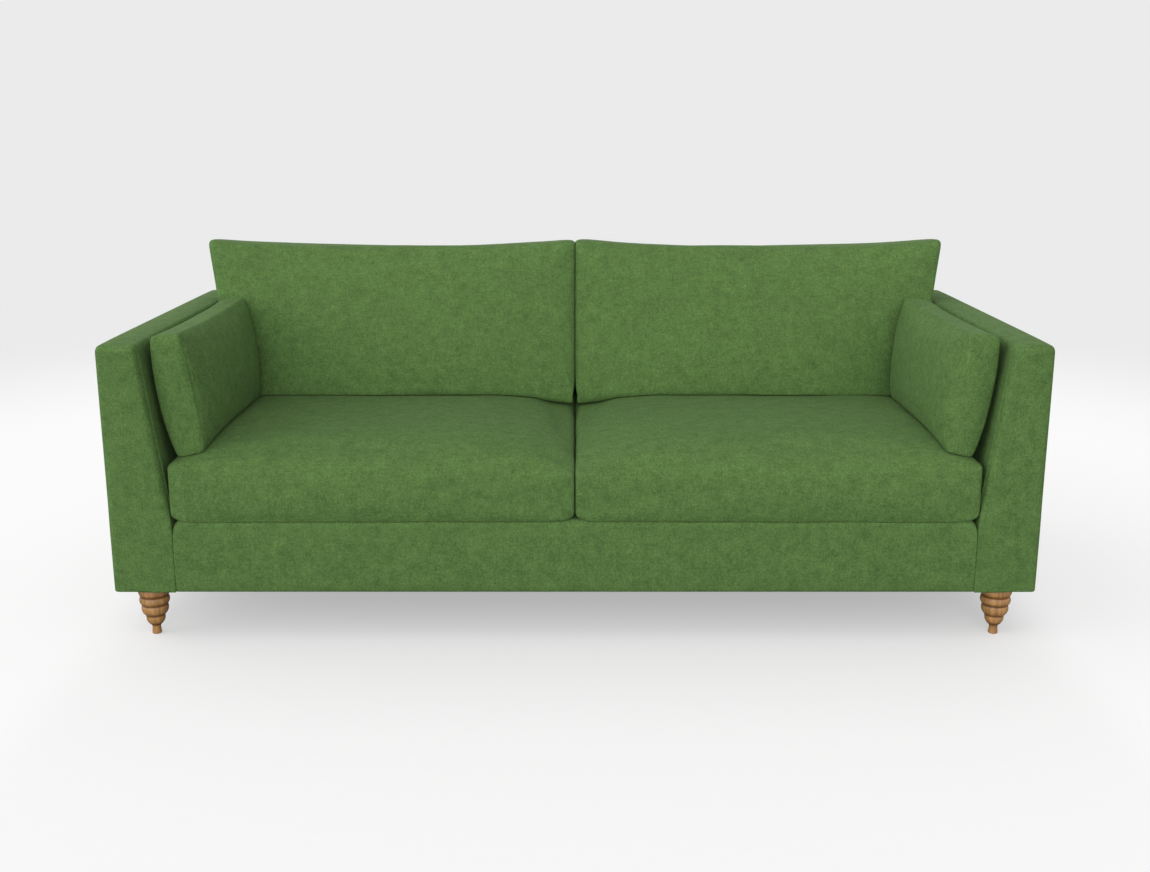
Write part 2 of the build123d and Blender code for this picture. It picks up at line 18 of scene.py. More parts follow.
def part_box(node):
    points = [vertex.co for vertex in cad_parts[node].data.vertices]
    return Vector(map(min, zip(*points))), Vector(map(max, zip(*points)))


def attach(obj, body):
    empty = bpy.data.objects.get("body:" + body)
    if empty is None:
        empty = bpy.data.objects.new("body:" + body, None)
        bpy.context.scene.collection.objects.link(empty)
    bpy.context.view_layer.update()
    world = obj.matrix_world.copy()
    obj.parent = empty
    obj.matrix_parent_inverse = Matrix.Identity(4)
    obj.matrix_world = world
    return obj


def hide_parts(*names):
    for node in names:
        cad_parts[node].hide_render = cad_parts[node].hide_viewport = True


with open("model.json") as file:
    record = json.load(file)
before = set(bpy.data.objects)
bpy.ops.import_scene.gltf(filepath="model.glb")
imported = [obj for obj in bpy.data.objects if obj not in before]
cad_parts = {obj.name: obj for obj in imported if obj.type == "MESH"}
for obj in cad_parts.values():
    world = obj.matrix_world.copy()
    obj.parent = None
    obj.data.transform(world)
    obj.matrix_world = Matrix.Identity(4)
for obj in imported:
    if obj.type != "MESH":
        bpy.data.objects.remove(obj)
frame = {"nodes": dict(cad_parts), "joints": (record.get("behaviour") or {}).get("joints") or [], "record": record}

scene = bpy.context.scene
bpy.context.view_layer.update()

# %% [markdown]
# ## Places worked out from the frame
# An upholsterer measures the frame before cutting cloth. The boxes of the covers give the heights and
# faces, and the slides of the back cushions give the lean of the back.

# %% Measure the frame
arm_low, arm_high = np.array(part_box("arm_cover_right"))
seat_low, seat_high = np.array(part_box("seat_cushion_cover_right"))
border_low, border_high = np.array(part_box("seat_front_border"))
back_low, back_high = np.array(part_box("back_cover"))
bolster_low, bolster_high = np.array(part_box("arm_bolster_cover_right"))
lift = next(j for j in frame["joints"] if j["name"] == "back_cushion_right_lift")["axis"]
back_lean = math.atan2(lift[1], lift[2])

ARM_TOP = 0.088  # thickness of an arm at its top
deck = border_high[2]  # top of the seat platform
arm_inner = arm_low[0]
arm_outer = arm_high[0]
frame_top = arm_high[2]
base = arm_low[2]
arm_lean = math.atan2(arm_outer - ARM_TOP - arm_inner, frame_top - deck)
back_inner = back_low[1]
print("arm lean", round(math.degrees(arm_lean), 2), "back lean", round(math.degrees(back_lean), 2))


def arm_face(z):
    """X of the right arm's inside at height z: upright to the platform, leaning out above it."""
    return arm_inner + np.maximum(z - deck, 0) * math.tan(arm_lean)


def back_face(z):
    """Y of the back's inside at height z."""
    return back_inner + np.maximum(z - deck, 0) * math.tan(back_lean)


# %% [markdown]
# ## Camera
# The photograph looks straight at the sofa from a little above eye level of someone seated. The arm
# tops converge to a horizon high in the picture, and that gives the height, the tilt and the lens.

# %% Camera at the photograph's place
IMAGE_WIDTH = 1150  # pixels
FOCAL_PIXELS = 1330  # focal length in those pixels
SENSOR = 36.0  # millimetres
CAMERA_DISTANCE = 3.088  # in front of the arm fronts
CAMERA_HEIGHT = 1.270
CAMERA_TILT = 13.6  # degrees down

camera_data = bpy.data.cameras.new("camera")
camera_data.sensor_width = SENSOR
camera_data.sensor_fit = "HORIZONTAL"
camera_data.lens = SENSOR * FOCAL_PIXELS / IMAGE_WIDTH
camera = bpy.data.objects.new("camera", camera_data)
scene.collection.objects.link(camera)
camera.location = (0, arm_low[1] - CAMERA_DISTANCE, CAMERA_HEIGHT)
camera.rotation_euler = (math.radians(90 - CAMERA_TILT), 0, 0)
scene.camera = camera
print("lens", round(camera_data.lens, 2), "mm")

# %% [markdown]
# ## Node helpers
# Each finish below is a small tree of shader nodes. These helpers keep a tree readable: one makes a
# node and sets its inputs, one joins two sockets, one adds coordinates at a stretched scale.


# %% Nodes and links
def new_material(name):
    """A material with an empty tree and its output node."""
    material = bpy.data.materials.new(name)
    material.use_nodes = True
    tree = material.node_tree
    tree.nodes.clear()
    return material, tree, tree.nodes.new("ShaderNodeOutputMaterial")


def add(tree, kind, inputs=None, **settings):
    """One node, with its settings and unlinked inputs."""
    node = tree.nodes.new(kind)
    for key, value in settings.items():
        setattr(node, key, value)
    for key, value in (inputs or {}).items():
        node.inputs[key].default_value = value
    return node


def join(tree, source, target):
    """A link between two sockets."""
    tree.links.new(source, target)


def stretched(tree, scale, turn=(0, 0, 0), shift=(0, 0, 0), vector=None):
    """Coordinates stretched, turned and shifted: the object's own, unless others are given."""
    mapping = add(tree, "ShaderNodeMapping", {"Scale": scale, "Rotation": turn, "Location": shift})
    vector = vector or add(tree, "ShaderNodeTexCoord").outputs["Object"]
    join(tree, vector, mapping.inputs["Vector"])
    return mapping.outputs["Vector"]


def noise(tree, vector, scale, detail=2.0, roughness=0.5, distortion=0.0):
    """Noise from 0 to 1 at a scale in features a metre."""
    node = add(tree, "ShaderNodeTexNoise", {
        "Scale": scale, "Detail": detail, "Roughness": roughness, "Distortion": distortion,
    })
    join(tree, vector, node.inputs["Vector"])
    return node.outputs["Fac"]


print("nodes and links ready")


# %% Arithmetic, ramps and surfaces
def math_node(tree, operation, first, second):
    """One arithmetic step on sockets or numbers."""
    node = add(tree, "ShaderNodeMath", operation=operation)
    for slot, value in zip(node.inputs, (first, second)):
        if isinstance(value, (int, float)):
            slot.default_value = value
        else:
            join(tree, value, slot)
    return node.outputs[0]


def weighted(tree, *terms):
    """Sum of sockets, each times its weight."""
    total = 0.0
    for socket, weight in terms:
        total = math_node(tree, "ADD", math_node(tree, "MULTIPLY", socket, weight), total)
    return total


def ramp(tree, factor, stops):
    """Colours along a factor, as (position, (r, g, b)) stops."""
    node = add(tree, "ShaderNodeValToRGB")
    elements = node.color_ramp.elements
    while len(elements) < len(stops):
        elements.new(0.5)
    for element, (position, colour) in zip(elements, stops):
        element.position = position
        element.color = (*colour, 1.0)
    join(tree, factor, node.inputs["Fac"])
    return node.outputs["Color"]


def bumped(tree, height, strength, distance):
    """A normal from a height."""
    node = add(tree, "ShaderNodeBump", {"Strength": strength, "Distance": distance})
    join(tree, height, node.inputs["Height"])
    return node.outputs["Normal"]


def blend(tree, share, first, second):
    """Two shaders, mixed."""
    node = add(tree, "ShaderNodeMixShader")
    for slot, source in zip(node.inputs, (share, first, second)):
        join(tree, source, slot)
    return node.outputs[0]


def surface(tree, output, inputs, colour, **sockets):
    """The material's surface: a shader with its colour and what else is joined to it."""
    shader = add(tree, "ShaderNodeBsdfPrincipled", inputs)
    join(tree, colour, shader.inputs["Base Color"])
    for name, source in sockets.items():
        join(tree, source, shader.inputs[name])
    join(tree, shader.outputs[0], output.inputs["Surface"])


print("shader helpers ready")

# %% [markdown]
# ## Green chenille
# The cover is a soft pile cloth whose threads run along and across the sofa. The pile lies unevenly,
# so light and dark patches a few centimetres wide wander over it. Three noises, each fast along one
# axis only, give threads that cross on every face without any unwrapping. A slow noise gives the
# patches and a fine one the tufts.


# %% Chenille
GREEN = (0.089, 0.166, 0.0475)
MOTTLE = 30.0  # uneven pile, in features a metre
SPECKS = 240.0  # single tufts
ACROSS = 330.0  # threads, across them
ALONG = 30.0  # and along them
MOTTLE_SHARE = 0.36  # of the tone
THREAD_SHARE = 0.30
SPECK_SHARE = 0.34
SHADES = ((0.34, 0.55), (0.50, 1.0), (0.66, 1.52))  # tone, and share of the base colour
PILE = 0.0030  # height of the pile


def chenille(name, base, shift=0.0):
    """Mottled pile cloth; shift moves the pattern so that no two pieces match."""
    material, tree, output = new_material(name)
    moved = stretched(tree, (1, 1, 1), shift=(shift, shift * 0.7, -shift))
    mottle = noise(tree, moved, MOTTLE, detail=4.0, roughness=0.95)
    speck = noise(tree, moved, SPECKS, detail=2.0, roughness=0.8)
    threads = 0.0
    for axis in range(3):
        scale = [ALONG, ALONG, ALONG]
        scale[axis] = ACROSS
        thread = noise(tree, stretched(tree, scale, vector=moved), 1.0, detail=2.0, roughness=0.7)
        threads = math_node(tree, "ADD", thread, threads)
    tone = weighted(tree, (mottle, MOTTLE_SHARE), (threads, THREAD_SHARE / 3), (speck, SPECK_SHARE))
    colour = ramp(tree, tone, [(at, tuple(c * k for c in base)) for at, k in SHADES])
    surface(tree, output, {
        "Roughness": 0.95, "Specular IOR Level": 0.12, "Sheen Weight": 0.06, "Sheen Roughness": 0.5,
        "Sheen Tint": (0.60, 0.80, 0.45, 1.0),
    }, colour, Normal=bumped(tree, tone, 0.5, PILE))
    return material


cloth = [chenille(f"green_chenille_{i}", GREEN, shift=0.37 * i) for i in range(4)]
print(len(cloth), "cloths")

# %% [markdown]
# ## Finishes of the frame
# The legs are oak under a clear satin coat, and on the turned front ones shade is painted into the
# grooves and under each bead. Inside are sawn pine, hardboard, elastic webbing, foam, plated steel
# and black dust cloth.

# %% Wood
GROOVE_SCALE = 0.150  # height that the ramp of painted shade covers
LEG_GROOVES = (0.0245, 0.050, 0.078, 0.101, 0.126)  # heights of the turned grooves
GROOVE_SHADE = ((-0.0030, 0.0), (-0.0008, 1.0), (0.0020, 0.9), (0.0100, 0.0))  # painted shade: height from a groove, share
# colour of the painted shade in the grooves
GROOVE_SHADE_COLOUR = (0.42, 0.32, 0.22)
OAK = ((0.265, 0.126, 0.038), (0.640, 0.345, 0.120))  # dark and light
PINE = ((0.42, 0.27, 0.14), (0.66, 0.48, 0.29))
HARDBOARD = ((0.20, 0.12, 0.065), (0.30, 0.19, 0.11))


def grained_wood(name, dark, light, scale, coat, tilt=0.0, grooves=()):
    """Wood grained along Z in streaks and finer pores; painted shade at the heights of turned grooves."""
    material, tree, output = new_material(name)
    grain = stretched(tree, (scale, scale, scale * 0.10), (tilt, tilt, 0))
    streaks = noise(tree, grain, 1.0, detail=6.0, roughness=0.62, distortion=1.2)
    pores = noise(tree, stretched(tree, (scale * 9, scale * 9, scale * 0.45), (tilt, tilt, 0)), 1.0)
    tone = weighted(tree, (streaks, 0.75), (pores, 0.25))
    middle = tuple((a + b) / 2 for a, b in zip(dark, light))
    colour = ramp(tree, tone, [(0.34, dark), (0.52, middle), (0.68, light)])
    # shade painted into the grooves and under each bead
    if grooves:
        colour = painted_groove_shade(tree, colour, grooves)
    surface(tree, output, {"Roughness": 0.45, "Coat Weight": coat, "Coat Roughness": 0.25},
            colour, Normal=bumped(tree, tone, 0.25, 0.0006))
    return material


def painted_groove_shade(tree, colour, grooves):
    """Colour darkened at some heights: painted shade in the turned grooves and under each bead."""
    place = add(tree, "ShaderNodeTexCoord")
    height = add(tree, "ShaderNodeSeparateXYZ")
    join(tree, place.outputs["Object"], height.inputs[0])
    up = math_node(tree, "MULTIPLY", height.outputs["Z"], 1 / GROOVE_SCALE)
    stops = []
    for groove_height in sorted(grooves):
        for above, share in GROOVE_SHADE:
            tint = tuple(1 + (c - 1) * share for c in GROOVE_SHADE_COLOUR)
            stops.append(((groove_height + above) / GROOVE_SCALE, tint))
    shade = ramp(tree, up, stops)
    both = add(tree, "ShaderNodeMix", {0: 1.0}, data_type="RGBA", blend_type="MULTIPLY")
    join(tree, colour, both.inputs[6])
    join(tree, shade, both.inputs[7])
    return both.outputs[2]


print("wood ready")


# %% Linings, webbing, foam and steel
def plain_cloth(name, dark, light, thread):
    """Woven cloth with one thread size, for webbing and linings."""
    material, tree, output = new_material(name)
    weft = noise(tree, stretched(tree, (thread, thread / 8, thread / 8)), 1.0)
    warp = noise(tree, stretched(tree, (thread / 8, thread, thread)), 1.0)
    tone = weighted(tree, (weft, 0.5), (warp, 0.5))
    colour = ramp(tree, tone, [(0.35, dark), (0.65, light)])
    surface(tree, output, {"Roughness": 0.95, "Specular IOR Level": 0.2},
            colour, Normal=bumped(tree, tone, 0.5, 0.0008))
    return material


def plated_steel(name):
    """Dull zinc plate with faint mottling."""
    material, tree, output = new_material(name)
    mottle = noise(tree, stretched(tree, (1, 1, 1)), 220.0, detail=3.0)
    colour = ramp(tree, mottle, [(0.3, (0.42, 0.42, 0.43)), (0.7, (0.62, 0.62, 0.60))])
    rough = math_node(tree, "ADD", math_node(tree, "MULTIPLY", mottle, 0.3), 0.2)
    surface(tree, output, {"Metallic": 1.0}, colour, Roughness=rough)
    return material


plain_oak = grained_wood("plain_oak", *OAK, 60, 0.25, 0.6)
finishes = {
    "leg_wood": grained_wood("turned_oak", *OAK, 60, 0.25, 0.6, LEG_GROOVES),
    "timber": grained_wood("sawn_pine", *PINE, 30, 0.0),
    "hardboard": grained_wood("hardboard", *HARDBOARD, 160, 0.0),
    "webbing": plain_cloth("elastic_webbing", (0.10, 0.09, 0.07), (0.22, 0.19, 0.14), 900),
    "filling": plain_cloth("foam_and_fibre", (0.70, 0.66, 0.54), (0.86, 0.83, 0.72), 400),
    "platform_cloth": plain_cloth("platform_cloth", (0.030, 0.060, 0.016), (0.055, 0.100, 0.030), 700),
    "dust_cloth": plain_cloth("dust_cloth", (0.012, 0.012, 0.012), (0.035, 0.035, 0.035), 500),
    "steel": plated_steel("plated_steel"),
    "upholstery": cloth[0],
}
for part in frame["record"]["subparts"]:
    node = frame["nodes"][part["node"]]
    node.data.materials.clear()
    turned = not part["node"].startswith("back_leg")
    node.data.materials.append(finishes[part["material_slot"]] if turned else plain_oak)
print(len(frame["nodes"]), "nodes have a finish")

# %% [markdown]
# ## Soft boxes
# Every padded piece here starts as a box of quads whose lines crowd together near the edges and at
# each seam. The box is rounded, then a shape function swells, leans and bends it into place. Even
# quads matter: they take seams, simulation and subdivision without pinching.


# %% Lattice
EDGE = (0.0, 0.0035, 0.009, 0.018, 0.030, 0.044)  # where lines crowd, from each end
FINE_EDGE = (0.0, 0.003, 0.007, 0.013, 0.020)
SEAM_WIDTH = 0.0035  # each side of a seam
TINY = 1e-6  # tells the points of one side of a box from the rest


def box_lines(half, edge, step, seams=()):
    """Coordinates from -half to half: crowded at both ends, even between, three at each seam."""
    inner = half - edge[-1]
    count = max(2, round(2 * inner / step))
    lines = list(np.linspace(-inner, inner, count + 1))
    for distance in edge[:-1]:
        lines += [half - distance, distance - half]
    for seam in seams:
        lines = [v for v in lines if abs(v - seam) > SEAM_WIDTH * 1.5 or abs(abs(v) - half) < TINY]
        lines += [seam - SEAM_WIDTH, seam, seam + SEAM_WIDTH]
    return np.array(sorted(lines))


def lattice(xs, ys, zs):
    """Closed box of quads through the given lines, as points and faces."""
    points, index, faces = [], {}, []

    def at(i, j, k):
        if (i, j, k) not in index:
            index[i, j, k] = len(points)
            points.append((xs[i], ys[j], zs[k]))
        return index[i, j, k]

    a, b, c = len(xs) - 1, len(ys) - 1, len(zs) - 1
    for i in range(a):
        for j in range(b):
            faces.append((at(i, j, 0), at(i, j + 1, 0), at(i + 1, j + 1, 0), at(i + 1, j, 0)))
            faces.append((at(i, j, c), at(i + 1, j, c), at(i + 1, j + 1, c), at(i, j + 1, c)))
        for k in range(c):
            faces.append((at(i, 0, k), at(i + 1, 0, k), at(i + 1, 0, k + 1), at(i, 0, k + 1)))
            faces.append((at(i, b, k), at(i, b, k + 1), at(i + 1, b, k + 1), at(i + 1, b, k)))
    for j in range(b):
        for k in range(c):
            faces.append((at(0, j, k), at(0, j, k + 1), at(0, j + 1, k + 1), at(0, j + 1, k)))
            faces.append((at(a, j, k), at(a, j + 1, k), at(a, j + 1, k + 1), at(a, j, k + 1)))
    return np.array(points), faces


print("lattice ready")


# %% Rounding and blending
def rounded(points, half, radii):
    """Box points moved onto the same box with round edges; radii along x, y and z, for each point."""
    radii = np.broadcast_to(radii, points.shape)
    inner = np.clip(points, radii - half, half - radii)
    out = (points - inner) / radii
    length = np.linalg.norm(out, axis=1, keepdims=True)
    return inner + radii * out / np.maximum(length, 1)


def swell(t, power):
    """1 in the middle of a side, 0 at its ends, flatter for a higher power."""
    return 1 - np.minimum(np.abs(t), 1) ** power


def mix(low, high, share):
    """Straight blend."""
    return low + (high - low) * share


def ease(t):
    """0 to 1 with soft ends."""
    t = np.clip(t, 0, 1)
    return t * t * (3 - 2 * t)


def groove(distance, seam):
    """Depth of a seam's groove, from 0 to 1, by distance from an edge."""
    return np.clip(1 - np.abs(distance - seam) / SEAM_WIDTH, 0, 1)


print("soft box tools ready")


# %% Pieces from points
def mesh_object(name, points, faces):
    """A smooth mesh in the scene."""
    mesh = bpy.data.meshes.new(name)
    mesh.from_pydata([tuple(p) for p in points], [], faces)
    mesh.polygons.foreach_set("use_smooth", [True] * len(mesh.polygons))
    obj = bpy.data.objects.new(name, mesh)
    scene.collection.objects.link(obj)
    return obj


def piece(name, points, faces, body, material, nodes, mirror=False):
    """A padded piece in place of CAD nodes; mirror makes the left-hand one."""
    points = np.array(points)
    if mirror:
        points = points * (-1, 1, 1)
        faces = [tuple(reversed(face)) for face in faces]
    obj = mesh_object(name, points, faces)
    obj.data.materials.append(material)
    smooth = obj.modifiers.new("smooth", "SUBSURF")
    smooth.levels = 1
    smooth.render_levels = 1
    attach(obj, body)
    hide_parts(*nodes)
    print(name, len(points), "points")
    return obj


SIDES = (("right", False), ("left", True))

# %% [markdown]
# ## Arms
# An arm is foam over boards. One strip of cloth runs up its front, over the top and down the back, and
# a panel is sewn on at each side, so a fine seam follows the front and the top edge a finger's
# width in. The outside stands upright and the inside leans out with the frame.

# %% Arms
ARM_SEAM = 0.016  # in from the front and top edges
ARM_RIDGE = 0.0225  # the turned-in cloth behind the seam
RIDGE_HEIGHT = 0.0012
SEAM_DEPTH = 0.0042
SEAM_FADE = 0.06  # the inner seam fades out over this much below the top
ARM_EDGE = (0.0, 0.0012, 0.004, 0.008, 0.013, 0.020)
ARM_WADDING = 0.0090  # proud of the frame's outside
TOP_WADDING = 0.0055  # proud of the frame's top
HEM = 0.004  # cloth turned under the frame
ARM_ROUND_IN = (0.016, 0.034, 0.014)  # inner edges above the platform, rounding along x, y and z
ARM_ROUND_OUT = (0.021, 0.013, 0.018)  # outer edges
ARM_LOW_IN = 0.0012  # inner edges below the platform
ARM_LOW_OUT = 0.012  # and outer edges there
ARM_HEM_ROUND = 0.004
ARM_CHANGE = 0.03  # height over which the rounding changes
ARM_BULGE = (0.003, 0.0025, 0.004)  # fullness of the outside, the front and the top


def arm_shape():
    """Right arm with its side panels' seams."""
    outside = arm_outer + ARM_WADDING
    top = frame_top + TOP_WADDING
    hem = base - HEM
    half = np.array([outside - arm_inner, arm_high[1] - arm_low[1], top - hem]) / 2
    points, faces = lattice(
        box_lines(half[0], ARM_EDGE, 0.022),
        box_lines(half[1], ARM_EDGE, 0.030, [ARM_SEAM - half[1], ARM_RIDGE - half[1]]),
        box_lines(half[2], ARM_EDGE, 0.030, [half[2] - ARM_SEAM]),
    )
    px, py, pz = points.T
    up = ease((pz + half[2] + hem - deck) / ARM_CHANGE)
    inner = px < 0
    low = np.where(inner, ARM_LOW_IN, ARM_LOW_OUT)
    high = [np.where(inner, a, b) for a, b in zip(ARM_ROUND_IN, ARM_ROUND_OUT)]
    radii = np.stack([mix(low, high[0], up), mix(low, high[1], up), mix(ARM_HEM_ROUND, high[2], up)], 1)
    flat = rounded(points, half, radii)
    ux, uy, uz = (flat / half).T
    z = hem + half[2] + flat[:, 2]
    x = mix(arm_face(z), outside, (ux + 1) / 2)
    side = np.sign(px) * (np.abs(px) > half[0] - TINY)
    front = py < TINY - half[1]
    upper = pz > half[2] - TINY
    x = x + np.maximum(side, 0) * ARM_BULGE[0] * swell(uy, 6) * swell(uz, 4)
    y = flat[:, 1] - front * ARM_BULGE[1] * swell(ux, 2) * swell(uz, 6)
    z = z + upper * ARM_BULGE[2] * swell(ux, 2) * swell(uy, 8)
    from_front = py + half[1]
    from_top = half[2] - pz
    dent = groove(np.minimum(from_front, np.where(side > 0, from_top, 1.0)), ARM_SEAM)
    ridge = groove(from_front, ARM_RIDGE) * (side < 0)
    fade = np.where(side > 0, 1.0, ease(from_top / SEAM_FADE) * up)
    x = x - side * fade * (dent * SEAM_DEPTH - ridge * RIDGE_HEIGHT)
    return np.stack([x, y, z], 1), faces


arm_points, arm_quads = arm_shape()
for i, (side, mirror) in enumerate(SIDES):
    piece(f"arm_upholstery_{side}", arm_points, arm_quads, "frame", cloth[i],
          [f"arm_cover_{side}"], mirror)

# %% [markdown]
# ## Back and front border
# The back is the same work between the arms. Seen from behind it is one wide panel, sewn to the wrap
# near its edges. The border under the seat cushions is a padded strip that rolls over the front rail,
# with soft corners beside the arms.

# %% Back
BACK_SEAM = 0.014  # in from the edges of the rear panel
BACK_ROUND = 0.018  # upper edges
BACK_LOW_ROUND = 0.006
BACK_CHANGE = 0.25  # height over which the rounding grows
BACK_BULGE = 0.004  # fullness of the rear panel
BACK_TOP_BULGE = 0.003
GAP = 0.0012  # room between padded pieces that press together


def back_shape():
    """Padded back between the arms."""
    half = np.array([arm_inner - GAP, (back_high[1] - back_inner) / 2, (frame_top - base) / 2])
    points, faces = lattice(
        box_lines(half[0], FINE_EDGE, 0.045, [s * (half[0] - BACK_SEAM) for s in (-1, 1)]),
        box_lines(half[1], FINE_EDGE, 0.024),
        box_lines(half[2], FINE_EDGE, 0.030, [half[2] - BACK_SEAM]),
    )
    px, py, pz = points.T
    edge = mix(BACK_LOW_ROUND, BACK_ROUND, ease((pz + half[2]) / BACK_CHANGE))
    radii = np.stack([np.full(len(edge), BACK_LOW_ROUND), edge, edge], 1)
    flat = rounded(points, half, radii)
    ux, uy, uz = (flat / half).T
    z = base + half[2] + flat[:, 2]
    x = ux * (arm_face(z) - GAP)
    y = mix(back_face(z), back_high[1], (uy + 1) / 2)
    rear = py > half[1] - TINY
    upper = pz > half[2] - TINY
    y = y + rear * BACK_BULGE * swell(ux, 14) * swell(uz, 6)
    z = z + upper * BACK_TOP_BULGE * swell(uy, 2) * swell(ux, 14)
    from_edge = np.minimum(half[0] - np.abs(px), half[2] - pz)
    y = y - rear * groove(from_edge, BACK_SEAM) * SEAM_DEPTH
    return np.stack([x, y, z], 1), faces


points, faces = back_shape()
piece("back_upholstery", points, faces, "frame", cloth[2], ["back_cover"])

# %% Section of the front border
BORDER_PADDING = 0.019  # from the front to the rail behind
BORDER_PROUD = 0.0045  # brings it flush with the arm fronts
BORDER_ROUNDING = 0.020
BORDER_CORNER = 0.026  # rounding of the ends beside the arms
BORDER_DRAW = 0.02  # share of that rounding that the front takes
BORDER_BOW = 0.002  # fullness of the front
BORDER_TURN = 0.003  # rounding of the lower edge
BORDER_LIP = 0.006  # thickness at the rear
BORDER_FOLD = 0.008  # and behind the roll, besides half the rounding
BORDER_END = 0.0003  # room at each arm
border_front = border_low[1] - BORDER_PROUD


def border_section(inset):
    """Outline of the rolled border in Y and Z, from the lower front edge round and back."""
    front = border_front + inset * BORDER_DRAW
    rear = border_high[1]
    inside = border_front + BORDER_PADDING
    top = border_high[2] - inset
    low = border_low[2] - HEM
    middle = (front + BORDER_ROUNDING, top - BORDER_ROUNDING)
    turns = np.linspace(math.pi, math.pi / 2, 7)
    roll = [(middle[0] + BORDER_ROUNDING * math.cos(t),
             middle[1] + BORDER_ROUNDING * math.sin(t)) for t in turns]
    face = [(front - BORDER_BOW * swell(s, 2),
             mix(low + BORDER_TURN, middle[1], (s + 1) / 2)) for s in np.linspace(-1, 1, 9)]
    lip = [(y, top) for y in np.linspace(middle[0], rear, 6)[1:]]
    under = [(rear, top - BORDER_LIP), (middle[0], top - BORDER_FOLD - BORDER_ROUNDING / 2),
             (inside, middle[1]), (inside, low)]
    return [(front + BORDER_TURN, low)] + face[:-1] + roll + lip + under


print("border section", len(border_section(0.0)), "points")


# %% Front border
def border_shape():
    """Closed bar of that section along X, drawn in at both ends."""
    xs = box_lines(arm_inner - BORDER_END, (0.0, 0.0008) + EDGE[1:], 0.04)
    reach = np.minimum((xs[-1] - np.abs(xs)) / BORDER_CORNER, 1)
    insets = BORDER_CORNER * (1 - np.sqrt(1 - (1 - reach) ** 2))
    sections = [border_section(inset) for inset in insets]
    n = len(sections[0])
    points = [(x, y, z) for x, section in zip(xs, sections) for y, z in section]
    faces = []
    for r in range(len(xs) - 1):
        for i in range(n):
            j = (i + 1) % n
            faces.append((r * n + j, r * n + n + j, r * n + n + i, r * n + i))
    faces.append(tuple(reversed(range(n))))
    faces.append(tuple(range((len(xs) - 1) * n, len(xs) * n)))
    return np.array(points), faces


points, faces = border_shape()
piece("front_border_upholstery", points, faces, "frame", cloth[3], ["seat_front_border"])

# %% [markdown]
# ## Blowing up a cushion
# A filled cover takes its shape from the stuffing that pushes from inside and the cloth that holds it.
# Blender's Cloth does that with pressure and no gravity. Each cushion starts a little slack, is blown
# up for twenty frames and keeps the swelling, but no point may travel far, so the cut stays as sewn.
# The parts that rest on something are held.


# %% Inflation
def outward(points, faces):
    """Unit normal at each point."""
    quads = np.array(faces)
    across = np.cross(points[quads[:, 2]] - points[quads[:, 0]],
                      points[quads[:, 3]] - points[quads[:, 1]])
    normals = np.zeros_like(points)
    for corner in range(4):
        np.add.at(normals, quads[:, corner], across)
    return normals / np.maximum(np.linalg.norm(normals, axis=1, keepdims=True), 1e-12)


FRAMES = 20
CLOTH = {
    "quality": 6,
    "mass": 0.3,
    "tension_stiffness": 60,
    "compression_stiffness": 60,
    "shear_stiffness": 30,
    "bending_stiffness": 2.0,
    "use_pressure": True,
    "vertex_group_mass": "held",
}


def inflate(points, faces, held, pressure, reach):
    """Points after the cover is blown up; held points stay, and none swells further than reach."""
    cover = mesh_object("cover", points, faces)
    mesh = cover.data
    group = cover.vertex_groups.new(name="held")
    group.add([int(i) for i in np.flatnonzero(held)], 1.0, "REPLACE")
    blown = cover.modifiers.new("blown", "CLOTH")
    for key, value in CLOTH.items():
        setattr(blown.settings, key, value)
    blown.settings.uniform_pressure_force = pressure
    blown.settings.effector_weights.gravity = 0
    blown.collision_settings.use_collision = False
    blown.point_cache.frame_start = 1
    blown.point_cache.frame_end = FRAMES
    for number in range(1, FRAMES + 1):
        scene.frame_set(number)
    result = cover.evaluated_get(bpy.context.evaluated_depsgraph_get())
    moved = np.empty(len(points) * 3)
    result.data.vertices.foreach_get("co", moved)
    scene.frame_set(1)
    bpy.data.objects.remove(cover)
    bpy.data.meshes.remove(mesh)
    normals = outward(points, faces)
    push = np.sum((moved.reshape(-1, 3) - points) * normals, axis=1)
    swelling = reach * np.tanh(np.maximum(push, 0) / reach)
    print("blown up by", (push.max() * 1000).round(1), "mm, kept", (swelling.max() * 1000).round(1))
    return points + normals * swelling[:, None]


print("inflation ready")

# %% Unevenness and clearance
WAVES = 7  # a metre
CLEARANCE = 0.0015  # between a cushion and what it rests on
FAR = 2.0  # further off than any piece
UP = (2, 1)  # axis and way
FORWARD = (1, -1)


def uneven(points, faces, seed, size):
    """Points pushed in and out along their normals by slow, seeded waves."""
    place = Vector((seed, 2 * seed, -seed))
    wave = np.array([mathutils.noise.noise(Vector(p) * WAVES + place) for p in points])
    return points + outward(points, faces) * wave[:, None] * size


def cleared(points, other, axis, way):
    """Points moved one way along an axis until they clear the surface of another piece."""
    tree = BVHTree.FromPolygons([Vector(p) for p in other[0]], other[1])
    points = points.copy()
    back = Vector((0, 0, 0))
    back[axis] = -way
    for p in points:
        start = Vector(p)
        start[axis] = way * FAR
        hit = tree.ray_cast(start, back)[0]
        if hit is not None:
            p[axis] = way * max(way * p[axis], way * hit[axis] + CLEARANCE)
    return points


print("unevenness and clearance ready")

# %% [markdown]
# ## Seat cushions
# Two large boxed cushions, filled until they stand well above their boxing. The top is nearly level in
# the middle, rolls over the front, and falls in a broad shoulder where the two cushions meet. Their
# edges are rounder there, most of all below the back cushions, where a small dark opening is left.

# %% Rounding of a seat cushion
LOW_ROUND = (0.005, 0.012)  # lower edges, beside the arm and beside the other cushion
LOW_DEPTH = 0.010
SIDE_ROUND = (0.012, 0.014)  # upper edge beside the arm, rounding along x and z
END_ROUND = (0.009, 0.008)  # upper edge beside the other cushion, near its ends
MEET_ROUND = (0.022, 0.020)  # and along its middle
NOTCH_ROUND = 0.050  # along z below the back cushions
DEPTH_ROUND = (0.022, 0.009)  # along y, beside the arm and beside the other cushion
ROLL_ROUND = (0.055, 0.046)  # front roll, along y and z


